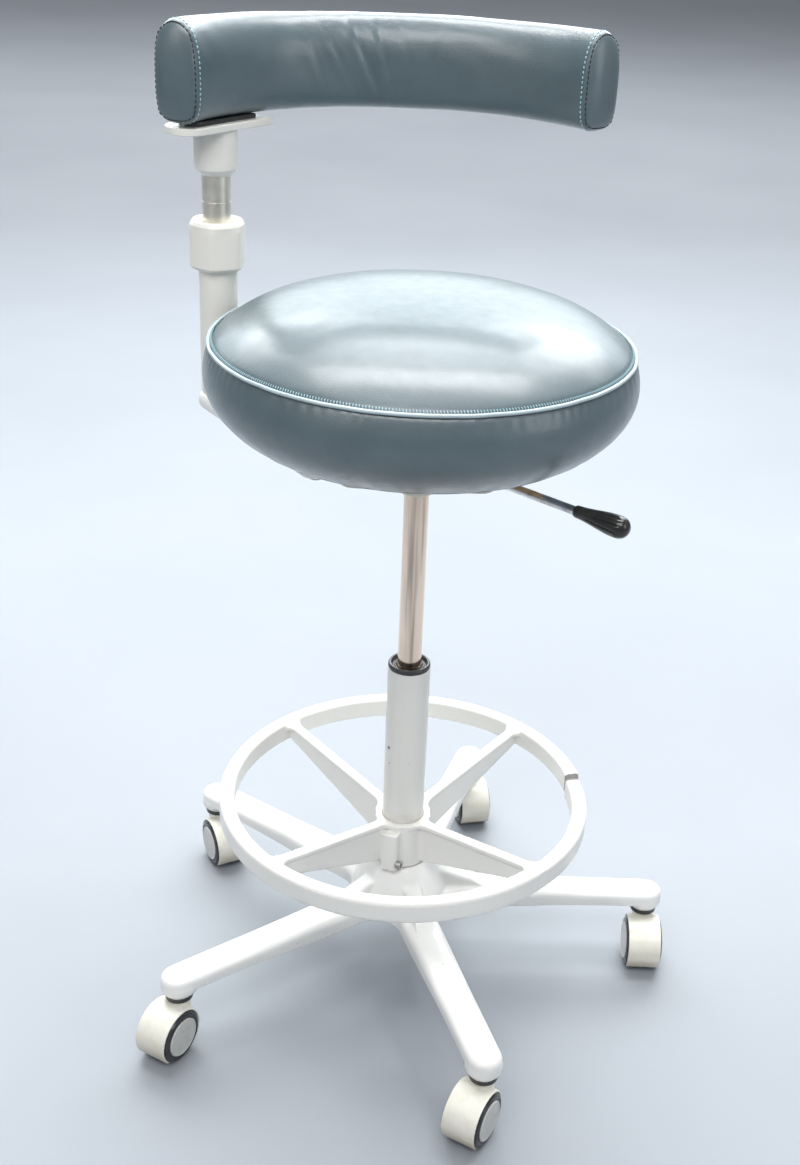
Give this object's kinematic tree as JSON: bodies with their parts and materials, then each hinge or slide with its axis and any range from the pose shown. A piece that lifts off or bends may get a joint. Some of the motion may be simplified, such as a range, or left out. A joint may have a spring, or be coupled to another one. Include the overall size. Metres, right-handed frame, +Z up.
{
  "type": "dentist stool",
  "caption": "Tall clinic stool with round padded seat, curved body support on a side post, gas lift, spoked foot ring and caster base.",
  "frame": {"origin": "on the column's axis at floor level, between the five casters", "axes": "+Z up, -Y to the front of the stool, +X to the sitter's left"},
  "size_m": [0.6247, 0.6665, 1.093],
  "materials": {
    "cast_white": "gloss enamel on cast metal, slightly yellowed",
    "tube_white": "gloss enamel on tube",
    "pan_ivory": "ivory enamel on pressed steel",
    "bush_black": "black moulded plastic",
    "chrome": "worn chrome",
    "satin_steel": "satin steel",
    "bolt_steel": "zinc plated",
    "buffer_rubber": "moulded rubber",
    "collet_brass": "machined",
    "grip_black": "fluted gloss black",
    "vinyl_teal": "teal upholstery vinyl with fine grain",
    "piping_teal": "teal vinyl welt",
    "foam": "upholstery foam",
    "plywood": "plywood",
    "hood_ivory": "aged ivory plastic",
    "wheel_dark": "dark grey wheel with light grey disc"
  },
  "bodies": {
    "base": {"base_star": "cast_white", "column_tube": "tube_white", "column_guide_bush": "bush_black", "thrust_bearing": "satin_steel", "column_buffer": "buffer_rubber", "caster_stems": "satin_steel", "caster_washers": "bush_black"},
    "piston": {"gas_piston_rod": "satin_steel", "rod_clip": "satin_steel", "gas_piston": "satin_steel"},
    "seat": {"gas_cylinder": "chrome", "seat_hub": "cast_white", "seat_pan": "pan_ivory", "pan_screws": "bolt_steel", "lever_pin": "bolt_steel", "seat_board": "plywood", "seat_foam": "foam", "seat_cover": "vinyl_teal", "seat_piping": "piping_teal", "support_arm": "cast_white", "arm_spacers": "bolt_steel", "arm_bolts": "bolt_steel", "post_tube": "tube_white", "post_bolt": "bolt_steel", "clamp_collet": "collet_brass"},
    "lever": {"height_lever": "chrome", "lever_grip": "grip_black"},
    "valve": {"gas_valve_button": "satin_steel"},
    "nut": {"clamp_nut": "tube_white"},
    "post": {"inner_post": "satin_steel"},
    "support": {"pivot_collar": "tube_white", "support_plate": "cast_white", "support_spacer": "bush_black", "plate_screws": "bolt_steel", "support_core": "plywood", "support_foam": "foam", "support_cover": "vinyl_teal"},
    "ring": {"foot_ring": "cast_white", "ring_clamp_bolt": "bolt_steel"},
    "caster_1": {"caster_1_hood": "hood_ivory", "caster_1_axle": "bolt_steel"},
    "caster_1_left": {"caster_1_wheel_left": "wheel_dark"},
    "caster_1_right": {"caster_1_wheel_right": "wheel_dark"},
    "caster_2": {"caster_2_hood": "hood_ivory", "caster_2_axle": "bolt_steel"},
    "caster_2_left": {"caster_2_wheel_left": "wheel_dark"},
    "caster_2_right": {"caster_2_wheel_right": "wheel_dark"},
    "caster_3": {"caster_3_hood": "hood_ivory", "caster_3_axle": "bolt_steel"},
    "caster_3_left": {"caster_3_wheel_left": "wheel_dark"},
    "caster_3_right": {"caster_3_wheel_right": "wheel_dark"},
    "caster_4": {"caster_4_hood": "hood_ivory", "caster_4_axle": "bolt_steel"},
    "caster_4_left": {"caster_4_wheel_left": "wheel_dark"},
    "caster_4_right": {"caster_4_wheel_right": "wheel_dark"},
    "caster_5": {"caster_5_hood": "hood_ivory", "caster_5_axle": "bolt_steel"},
    "caster_5_left": {"caster_5_wheel_left": "wheel_dark"},
    "caster_5_right": {"caster_5_wheel_right": "wheel_dark"}
  },
  "joints": [
    {"name": "seat_swivel", "type": "hinge", "parent": "base", "child": "piston", "pos_m": [0, 0, 0.09], "axis": [0, 0, 1], "continuous": true},
    {"name": "seat_lift", "type": "slide", "parent": "piston", "child": "seat", "axis": [0, 0, 1], "range_m": [-0.2, 0.04]},
    {"name": "lever_tilt", "type": "hinge", "parent": "seat", "child": "lever", "pos_m": [0.02264, -0.01968, 0.671], "axis": [-0.6561, -0.7547, 0], "range_deg": [0, 5.5], "stiffness_Nm_per_rad": 4, "springref_deg": -6.88},
    {"name": "valve_press", "type": "slide", "parent": "seat", "child": "valve", "axis": [0, 0, 1], "range_m": [-0.003, 0]},
    {"name": "nut_turn", "type": "hinge", "parent": "seat", "child": "nut", "pos_m": [-0.228, 0.112, 0.86], "axis": [0, 0, 1], "range_deg": [0, 120]},
    {"name": "post_slide", "type": "slide", "parent": "seat", "child": "post", "axis": [0, 0, 1], "range_m": [-0.045, 0.08]},
    {"name": "support_swing", "type": "hinge", "parent": "post", "child": "support", "pos_m": [-0.228, 0.112, 0.95], "axis": [0, 0, 1], "continuous": true},
    {"name": "ring_slide", "type": "slide", "parent": "base", "child": "ring", "axis": [0, 0, 1], "range_m": [-0.001, 0.19]},
    {"name": "caster_1_swivel", "type": "hinge", "parent": "base", "child": "caster_1", "pos_m": [0.09958, -0.29252, 0.06], "axis": [0, 0, 1], "continuous": true},
    {"name": "caster_1_spin_left", "type": "hinge", "parent": "caster_1", "child": "caster_1_left", "pos_m": [0.08857, -0.31214, 0.03], "axis": [-0.8721, 0.4894, 0], "continuous": true},
    {"name": "caster_1_spin_right", "type": "hinge", "parent": "caster_1", "child": "caster_1_right", "pos_m": [0.08857, -0.31214, 0.03], "axis": [-0.8721, 0.4894, 0], "continuous": true},
    {"name": "caster_2_swivel", "type": "hinge", "parent": "base", "child": "caster_2", "pos_m": [0.30897, 0.00431, 0.06], "axis": [0, 0, 1], "continuous": true},
    {"name": "caster_2_spin_left", "type": "hinge", "parent": "caster_2", "child": "caster_2_left", "pos_m": [0.30866, -0.01818, 0.03], "axis": [-0.9999, 0.014, 0], "continuous": true},
    {"name": "caster_2_spin_right", "type": "hinge", "parent": "caster_2", "child": "caster_2_right", "pos_m": [0.30866, -0.01818, 0.03], "axis": [-0.9999, 0.014, 0], "continuous": true},
    {"name": "caster_3_swivel", "type": "hinge", "parent": "base", "child": "caster_3", "pos_m": [0.09137, 0.29518, 0.06], "axis": [0, 0, 1], "continuous": true},
    {"name": "caster_3_spin_left", "type": "hinge", "parent": "caster_3", "child": "caster_3_left", "pos_m": [0.09651, 0.27327, 0.03], "axis": [-0.9736, -0.2284, 0], "continuous": true},
    {"name": "caster_3_spin_right", "type": "hinge", "parent": "caster_3", "child": "caster_3_right", "pos_m": [0.09651, 0.27327, 0.03], "axis": [-0.9736, -0.2284, 0], "continuous": true},
    {"name": "caster_4_swivel", "type": "hinge", "parent": "base", "child": "caster_4", "pos_m": [-0.2525, 0.17812, 0.06], "axis": [0, 0, 1], "continuous": true},
    {"name": "caster_4_spin_left", "type": "hinge", "parent": "caster_4", "child": "caster_4_left", "pos_m": [-0.2418, 0.15832, 0.03], "axis": [-0.8796, -0.4756, 0], "continuous": true},
    {"name": "caster_4_spin_right", "type": "hinge", "parent": "caster_4", "child": "caster_4_right", "pos_m": [-0.2418, 0.15832, 0.03], "axis": [-0.8796, -0.4756, 0], "continuous": true},
    {"name": "caster_5_swivel", "type": "hinge", "parent": "base", "child": "caster_5", "pos_m": [-0.24743, -0.1851, 0.06], "axis": [0, 0, 1], "continuous": true},
    {"name": "caster_5_spin_left", "type": "hinge", "parent": "caster_5", "child": "caster_5_left", "pos_m": [-0.25847, -0.2047, 0.03], "axis": [-0.8712, 0.4909, 0], "continuous": true},
    {"name": "caster_5_spin_right", "type": "hinge", "parent": "caster_5", "child": "caster_5_right", "pos_m": [-0.25847, -0.2047, 0.03], "axis": [-0.8712, 0.4909, 0], "continuous": true}
  ],
  "couplings": [
    {"joint": "valve_press", "follows": "lever_tilt", "m_per_rad": -0.03}
  ]
}
